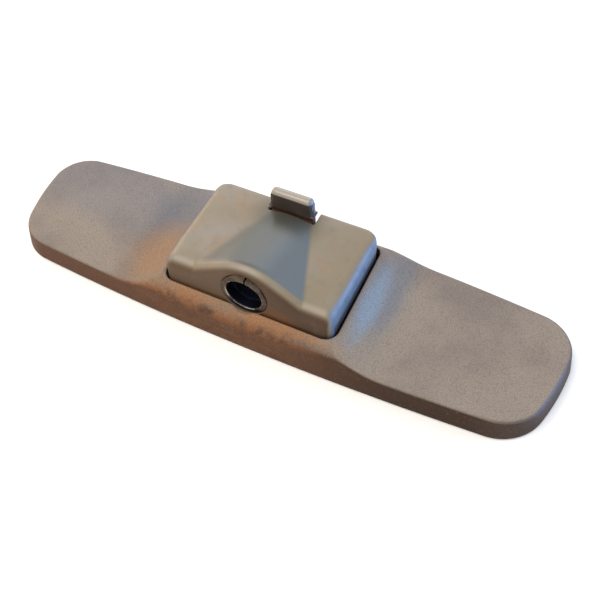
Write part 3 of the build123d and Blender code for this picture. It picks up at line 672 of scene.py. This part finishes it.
class Surface:
    """A node material built step by step, on the row frame's own coordinates."""

    def __init__(self, name):
        self.material = bpy.data.materials.new(name)
        self.material.use_nodes = True
        self.tree = self.material.node_tree
        self.shader = self.tree.nodes["Principled BSDF"]
        coordinates = self.tree.nodes.new("ShaderNodeTexCoord")
        self.place = coordinates.outputs["Object"]
        self.normal = coordinates.outputs["Normal"]
        self.colour = None  # set by each finish, then tinted step by step

    def node(self, kind, inputs=(), **settings):
        """A new node, with values or links for its inputs."""
        made = self.tree.nodes.new("ShaderNode" + kind)
        for key, value in settings.items():
            setattr(made, key, value)
        for key, value in dict(inputs).items():
            self.feed(made.inputs[key], value)
        return made

    def feed(self, socket, value):
        if isinstance(value, bpy.types.NodeSocket):
            self.tree.links.new(value, socket)
        else:
            socket.default_value = value

    def math(self, operation, *values):
        made = self.node("Math", operation=operation)
        for socket, value in zip(made.inputs, values):
            self.feed(socket, value)
        return made.outputs[0]

    def noise(self, scale, detail, roughness):
        inputs = {"Vector": self.place, "Scale": scale, "Detail": detail, "Roughness": roughness}
        return self.node("TexNoise", inputs).outputs["Fac"]

    def creases(self, scale):
        """Distance to the nearest edge between cells."""
        inputs = {"Vector": self.place, "Scale": scale}
        return self.node("TexVoronoi", inputs, feature="DISTANCE_TO_EDGE").outputs["Distance"]

    def ramp(self, value, low, high):
        """0 on low's side and 1 on high's, eased between them; low may be the greater."""
        inputs = {"Value": value, "From Min": low, "From Max": high}
        return self.node("MapRange", inputs, interpolation_type="SMOOTHSTEP").outputs["Result"]

    def spread(self, share, low, high):
        """A share from 0 to 1 as a value from low to high."""
        return self.node("MapRange", {"Value": share, "To Min": low, "To Max": high}).outputs["Result"]

    def mix(self, share, a, b):
        """Colour a where the share is 0, and b where it is 1."""
        made = self.node("Mix", data_type="RGBA")
        self.feed(made.inputs["Factor"], share)
        self.feed(made.inputs[6], a)
        self.feed(made.inputs[7], b)
        return made.outputs[2]

    def tint(self, colour, *shares):
        """Lays a colour over the one so far, as strongly as the product of the shares."""
        self.colour = self.mix(self.both(*shares), self.colour, colour)

    def axes(self):
        return self.node("SeparateXYZ", {"Vector": self.place}).outputs

    def facing(self):
        return self.node("SeparateXYZ", {"Vector": self.normal}).outputs

    def both(self, *shares):
        """Product of shares that each run from 0 to 1."""
        product = shares[0]
        for share in shares[1:]:
            product = self.math("MULTIPLY", product, share)
        return product

    def blob(self, centre, radii, soft, wobble=None):
        """1 inside an ellipsoid about a point in millimetres, falling to 0 outside it, and its edge
        made ragged by a noise if one is given."""
        middle = tuple(c * MM for c in centre)
        shrink = tuple(1 / (r * MM) for r in radii)
        moved = self.node("VectorMath", {0: self.place, 1: middle}, operation="SUBTRACT")
        scaled = self.node("VectorMath", {0: moved.outputs[0], 1: shrink}, operation="MULTIPLY")
        reach = self.node("VectorMath", {0: scaled.outputs[0]}, operation="LENGTH").outputs["Value"]
        if wobble is not None:
            shift = self.math("MULTIPLY", self.math("SUBTRACT", wobble, 0.5), 1.2)
            reach = self.math("ADD", reach, shift)
        return self.ramp(self.math("MULTIPLY", reach, -1), -1 - soft, -1 + soft)

    def bump(self, height, strength, distance):
        inputs = {"Height": height, "Strength": strength, "Distance": distance}
        return self.node("Bump", inputs).outputs["Normal"]

    def shade(self, **values):
        """The finished material: the colour so far, and the shader's other inputs by short names."""
        self.feed(self.shader.inputs["Base Color"], self.colour)
        names = {
            "roughness": "Roughness",
            "metal": "Metallic",
            "specular": "Specular IOR Level",
            "normal": "Normal",
        }
        for key, value in values.items():
            self.feed(self.shader.inputs[names[key]], value)
        return self.material


def rgb(red, green, blue):
    """A colour given as it looks on a screen, 0 to 255, in the linear values that nodes use."""
    linear = []
    for value in (red, green, blue):
        c = value / 255
        linear.append(c / 12.92 if c <= 0.04045 else ((c + 0.055) / 1.055) ** 2.4)
    return (*linear, 1)


def dimmed(colour, share):
    """A share of a colour's brightness."""
    return tuple(c * share for c in colour[:3]) + (1,)


def grained_shell():
    """Brown moulded shell with a leather grain, worn to orange near the pod with a painted warm
    reflection there too, painted shade on its sides, and painted bluish and orange reflections in
    patches.
    """
    s = Surface("grained_shell")
    x = s.axes()["X"]
    nx, ny, nz = s.facing()
    cloud = s.noise(28, 4, 0.55)
    mottle = s.noise(190, 5, 0.65)
    speck = s.noise(900, 3, 0.7)
    s.colour = s.mix(s.ramp(cloud, 0.35, 0.65), rgb(117, 106, 98), rgb(135, 123, 111))
    # painted reflections on the wings and about the pod: bluish ones on the left wing and right flank,
    # an orange one on the left flank
    s.tint(rgb(108, 108, 114), s.blob((-84, 12, 10), (44, 20, 12), 0.5, cloud), 0.5)
    s.tint(rgb(100, 101, 108), s.blob((-52, 14, 14), (16, 22, 12), 0.5, cloud), 0.8)
    # painted orange reflection of warm surroundings on the left flank's near part
    s.tint(rgb(142, 108, 78), s.blob((-49, -12, 14), (12, 15, 12), 0.7, cloud), 0.8)
    # painted bluish-grey reflection on the right flank
    right_flank_reflection = s.blob((52, 4, 16), (9, 24, 9), 0.5, cloud)
    s.tint(rgb(106, 110, 118), right_flank_reflection, s.ramp(nx, 0.05, 0.3), 0.8)
    # painted blue highlight on the hump's right flank, beside the recess
    hump_end_highlight = s.blob((45, -2, 18), (4.6, 20, 9), 0.5, cloud)
    s.tint(rgb(122, 138, 154), hump_end_highlight, s.ramp(nx, 0.02, 0.2), 0.95)
    # painted shade in the gap between the recess's left lip and the cover's edge
    s.tint(rgb(44, 37, 33), s.blob((-39.3, 3, 19), (1.4, 24, 8), 0.4), 0.8)
    # painted shade: the sides are darker, more so towards the right
    side = s.ramp(nz, 0.86, 0.3)
    rightward = s.ramp(x, 5 * MM, 75 * MM)
    s.tint(s.mix(rightward, rgb(90, 60, 42), rgb(58, 41, 31)), side)
    # the right end: painted shade on its rounded edges, and a painted bluish reflection on its corner
    s.tint(rgb(74, 62, 56), s.ramp(x, 92 * MM, 112 * MM), s.ramp(nz, 0.99, 0.85), 0.6)
    end_corner = s.both(s.ramp(nx, 0.15, 0.5), s.ramp(nz, 0.1, 0.35))
    s.tint(rgb(98, 104, 128), s.blob((118, -6, 8), (14, 14, 5), 0.5), end_corner, 0.7)
    # the near edge by the pod is worn to orange in patches, and so is the recess's near lip; their
    # orange is also painted warm reflected light
    near_edge = s.both(s.ramp(ny, -0.1, -0.45), s.ramp(nz, 0.1, 0.4), s.ramp(x, 45 * MM, 10 * MM))
    rubbed_and_reflected = s.mix(s.ramp(mottle, 0.42, 0.66), rgb(132, 86, 54), rgb(78, 56, 42))
    s.tint(rubbed_and_reflected, s.blob((-5, -30, 10), (52, 14, 14), 0.3), near_edge, 0.85)
    rust_and_reflection = s.mix(s.ramp(cloud, 0.42, 0.6), rgb(134, 108, 84), rgb(146, 104, 68))
    s.tint(rust_and_reflection, s.blob((-8, -27, 17), (40, 3.6, 5), 0.5, mottle), s.ramp(nz, 0.3, 0.8))
    # grain: raised cells parted by dark creases, and pale specks
    ridge = s.ramp(s.creases(1150), 0.0, 0.2)
    s.tint(rgb(58, 44, 36), s.math("SUBTRACT", 1, ridge), 0.32)
    s.tint(rgb(168, 152, 136), s.ramp(speck, 0.55, 0.8), 0.2)
    height = s.math("ADD", s.math("MULTIPLY", ridge, 0.7), s.noise(560, 3, 0.6))
    return s.shade(
        roughness=s.spread(mottle, 0.42, 0.62),
        specular=s.spread(side, 0.32, 0.1),
        normal=s.bump(height, 0.45, 0.0002),
    )


def cover_plastic():
    """Smooth plastic, polished by hands: tan where level, a painted blue-grey reflection on the ramp, a
    painted blue reflection and painted shade on its right side, and painted shade that makes it brown in
    front.
    """
    s = Surface("cover_plastic")
    x, y, z = s.axes()
    nx, ny, nz = s.facing()
    cloud = s.noise(45, 4, 0.55)
    patches = s.noise(95, 3, 0.5)
    mottle = s.noise(240, 4, 0.6)
    s.colour = s.mix(s.ramp(cloud, 0.35, 0.65), rgb(125, 113, 93), rgb(131, 122, 110))
    s.tint(rgb(134, 108, 78), s.ramp(patches, 0.52, 0.66), 0.45)
    s.tint(rgb(112, 99, 76), s.ramp(x, 4 * MM, 24 * MM), 0.45)
    # the ramp's fan, painted blue-grey as a reflection, crisp along its right foot and softer along its
    # left one
    slope = (RAMP_FAR[1] - RAMP_NEAR[1]) / (RAMP_FAR[0] - RAMP_NEAR[0])
    foot_x = s.math("ADD", s.math("MULTIPLY", y, slope), (RAMP_NEAR[1] - slope * RAMP_NEAR[0]) * MM)
    on_right = s.ramp(s.math("SUBTRACT", foot_x, x), -0.5 * MM, 2 * MM)
    on_left = s.ramp(s.math("ADD", foot_x, x), -1.5 * MM, 6 * MM)
    level = s.both(s.ramp(nz, 0.55, 0.8), s.ramp(ny, -0.25, 0.0))
    fan = s.mix(s.ramp(nx, 0.0, 0.35), rgb(78, 78, 72), rgb(84, 92, 96))
    fan = s.mix(s.ramp(nx, -0.05, -0.3), fan, rgb(86, 88, 84))
    s.tint(fan, on_right, on_left, level, 0.95)
    # painted dark reflection and shade of the grip on the ramp's far end
    s.tint(rgb(50, 48, 42), s.blob((0, 17, 30), (14, 9, 6), 0.6), level, 0.55)
    # its right side: a painted blue reflection at the top and painted shade at the foot, by the gap
    at_right = s.ramp(x, 30 * MM, 35 * MM)
    blue = s.mix(s.ramp(mottle, 0.35, 0.65), rgb(74, 104, 142), rgb(92, 120, 154))
    s.tint(blue, s.ramp(nx, 0.2, 0.75), s.ramp(ny, -0.85, -0.4), at_right, 0.9)
    s.tint(rgb(40, 41, 46), s.ramp(nx, 0.9, 0.98), s.ramp(z, 24 * MM, 20 * MM), at_right, 0.9)
    # painted shade: its front darker brown and its left side greyer
    front = s.both(s.ramp(ny, -0.45, -0.85), s.ramp(nx, 0.75, 0.4))
    s.tint(s.mix(s.ramp(x, -8 * MM, 20 * MM), rgb(88, 69, 52), rgb(74, 56, 42)), front)
    s.tint(rgb(100, 92, 84), s.ramp(nx, -0.25, -0.8), 0.7)
    # rust-coloured rubbing on the front, and mottling all over
    s.tint(rgb(140, 88, 50), front, s.blob((-18, -25, 12.5), (24, 4, 3.2), 0.6, mottle), 0.7)
    s.tint(rgb(120, 74, 42), front, s.blob((15, -24.5, 18), (7, 4, 4), 0.6, mottle), 0.4)
    s.tint(rgb(92, 80, 68), s.ramp(mottle, 0.5, 0.8), 0.3)
    return s.shade(
        roughness=s.spread(cloud, 0.34, 0.5),
        specular=s.spread(front, 0.5, 0.15),
        normal=s.bump(s.noise(900, 3, 0.6), 0.08, 0.0001),
    )


def grip_moulding():
    """The lever's grip: dark brown, with a painted highlight along its top and a painted blue reflection
    at its right end.
    """
    s = Surface("grip_plastic")
    nx, _, nz = s.facing()
    s.colour = s.mix(s.ramp(s.noise(120, 3, 0.6), 0.3, 0.7), rgb(50, 42, 36), rgb(62, 53, 46))
    # painted highlight along the top
    s.tint(rgb(146, 136, 124), s.ramp(nz, 0.02, 0.4), s.ramp(nx, 0.6, 0.3))
    # painted blue reflection on the right end
    s.tint(s.mix(s.ramp(nz, 0.1, 0.5), rgb(64, 78, 106), rgb(112, 134, 160)), s.ramp(nx, 0.25, 0.7))
    fine = s.noise(500, 4, 0.7)
    return s.shade(roughness=0.25, specular=0.45, normal=s.bump(fine, 0.1, 0.00005))


def worn_ring():
    """Sprung steel: a painted highlight along the rim, which is smoother, and dark blue-black down the
    bore.
    """
    s = Surface("ring_steel")
    x, _, z = s.axes()
    up = s.math("SUBTRACT", z, SOCKET_Z * MM)
    radius = s.math("SQRT", s.math("ADD", s.math("MULTIPLY", x, x), s.math("MULTIPLY", up, up)))
    rim_starts = s.ramp(radius, (RING_BORE_R + 0.1) * MM, (RING_BORE_R + 0.3) * MM)
    rim_ends = s.ramp(radius, (RING_BORE_R + 0.75) * MM, (RING_BORE_R + 0.5) * MM)
    rim = s.both(rim_starts, rim_ends)
    cloud = s.noise(220, 4, 0.7)
    s.colour = s.mix(s.ramp(cloud, 0.3, 0.7), rgb(62, 50, 40), rgb(96, 82, 68))
    s.tint(rgb(24, 28, 44), s.ramp(radius, (RING_BORE_R + 0.2) * MM, (RING_BORE_R + 0.05) * MM))
    # painted highlight along the rim
    s.tint(rgb(186, 178, 166), rim, s.ramp(cloud, 0.4, 0.6))
    fine = s.noise(700, 4, 0.7)
    return s.shade(metal=0.85, roughness=s.spread(rim, 0.45, 0.25), normal=s.bump(fine, 0.1, 0.00005))


def metal(name, colour, roughness, scale=700):
    """Plain metal, clouded and finely rough."""
    s = Surface(name)
    fine = s.noise(scale, 4, 0.7)
    s.colour = s.mix(s.ramp(s.noise(scale / 6, 3, 0.6), 0.35, 0.7), colour, dimmed(colour, 0.62))
    rough = s.spread(fine, roughness * 0.7, roughness * 1.4)
    return s.shade(metal=1.0, roughness=rough, normal=s.bump(fine, 0.1, 0.00005))


def plastic(name, colour, roughness, scale=400):
    """Plain plastic, rubber or foam, clouded and finely rough."""
    s = Surface(name)
    fine = s.noise(scale, 4, 0.7)
    s.colour = s.mix(s.ramp(s.noise(scale / 5, 3, 0.6), 0.35, 0.7), colour, dimmed(colour, 0.72))
    rough = s.spread(fine, roughness * 0.75, roughness * 1.3)
    return s.shade(roughness=rough, normal=s.bump(fine, 0.12, 0.00006), specular=0.5)


def floor_paper():
    s = Surface("floor_paper")
    s.colour = s.mix(s.noise(60, 4, 0.6), rgb(238, 237, 235), rgb(243, 242, 240))
    return s.shade(roughness=0.95, specular=0.1)


finishes = {
    "grained_shell": grained_shell(),
    "cover_plastic": cover_plastic(),
    "black_rubber": plastic("black_rubber", rgb(38, 34, 32), 0.7),
    "silvered_glass": metal("silvered_glass", rgb(226, 230, 232), 0.04, 60),
    "foam": plastic("foam", rgb(66, 66, 66), 0.95, 1500),
    "zinc_steel": metal("zinc_steel", rgb(188, 186, 176), 0.35),
    "screw_steel": metal("screw_steel", rgb(180, 180, 178), 0.3),
    "nylon": plastic("nylon", rgb(222, 218, 204), 0.4),
    "die_cast_zinc": metal("die_cast_zinc", rgb(150, 150, 152), 0.45),
    "spring_steel": metal("spring_steel", rgb(130, 132, 140), 0.3),
    "ring_steel": worn_ring(),
    "black_acetal": plastic("black_acetal", rgb(26, 30, 44), 0.25),
    "lever_plastic": plastic("lever_plastic", rgb(74, 50, 42), 0.35),
    "grip_plastic": grip_moulding(),
}

build_housing()
build_bosses()
build_cover()
build_ring()
build_grip()

# the CAD nodes that stay take the finish that the record gives them
for part in frame["record"]["subparts"]:
    node = frame["nodes"][part["node"]]
    node.data.materials.clear()
    node.data.materials.append(finishes[part["material_slot"]])

# ---- floor, light and camera ----
FLOOR_GAP = 0.0002
LIGHTS_AIM = Vector((0, 0, 0.02))
CAMERA_ANGLES = (29.418, 54.49, 3.94)  # azimuth, elevation and roll
CAMERA_TARGET = Vector((15.94, -7.965, 10.0)) * MM
CAMERA_DISTANCE = 0.3
CAMERA_LENS = 43.78992


def build_floor():
    """A pale round floor just under the object."""
    shape = bmesh.new()
    bmesh.ops.create_circle(shape, cap_ends=True, radius=6.0, segments=128)
    mesh = bpy.data.meshes.new("floor")
    shape.to_mesh(mesh)
    shape.free()
    floor = bpy.data.objects.new("floor", mesh)
    floor.location.z = cad_low[2] - FLOOR_GAP
    mesh.materials.append(floor_paper())
    bpy.context.scene.collection.objects.link(floor)


def area_light(name, at, size, power, colour):
    """A soft light at a place in metres, turned towards the object."""
    lamp = bpy.data.lights.new(name, "AREA")
    lamp.shape = "RECTANGLE"
    lamp.size, lamp.size_y = size
    lamp.energy = power
    lamp.color = colour
    holder = bpy.data.objects.new(name, lamp)
    holder.location = at
    holder.rotation_mode = "QUATERNION"
    holder.rotation_quaternion = (LIGHTS_AIM - Vector(at)).to_track_quat("-Z", "Y")
    bpy.context.scene.collection.objects.link(holder)


def build_light():
    area_light("key", (-0.25, -0.35, 0.95), (0.7, 0.7), 9.0, (1.0, 0.95, 0.88))
    area_light("sky_right", (0.85, 0.55, 0.38), (0.6, 0.5), 6.0, (0.42, 0.62, 1.0))
    area_light("sky_back", (-0.3, 0.85, 0.55), (0.7, 0.4), 3.0, (0.75, 0.85, 1.0))
    area_light("warm_left", (-0.85, 0.3, 0.25), (0.5, 0.4), 2.0, (1.0, 0.72, 0.45))
    world = bpy.data.worlds.new("studio")
    world.use_nodes = True
    sky = world.node_tree.nodes["Background"]
    sky.inputs["Color"].default_value = (1, 1, 1, 1)
    sky.inputs["Strength"].default_value = 0.7
    bpy.context.scene.world = world
    bpy.context.scene.view_settings.view_transform = "Standard"


def build_camera():
    """The camera stands close to the head, to the right of its middle, and is rolled a little."""
    azimuth, elevation, roll = (math.radians(angle) for angle in CAMERA_ANGLES)
    back = Vector((
        math.sin(azimuth) * math.cos(elevation),
        -math.cos(azimuth) * math.cos(elevation),
        math.sin(elevation),
    ))
    right = Vector((math.cos(azimuth), math.sin(azimuth), 0))
    up = back.cross(right)
    turned_right = right * math.cos(roll) - up * math.sin(roll)
    turned_up = right * math.sin(roll) + up * math.cos(roll)
    lens = bpy.data.cameras.new("camera")
    lens.sensor_width = 36
    lens.lens = CAMERA_LENS
    lens.clip_start = 0.01
    lens.clip_end = 50
    camera = bpy.data.objects.new("camera", lens)
    turn = Matrix((turned_right, turned_up, back)).transposed().to_4x4()
    camera.matrix_world = Matrix.Translation(CAMERA_TARGET + back * CAMERA_DISTANCE) @ turn
    bpy.context.scene.collection.objects.link(camera)
    bpy.context.scene.camera = camera


build_floor()
build_light()
build_camera()
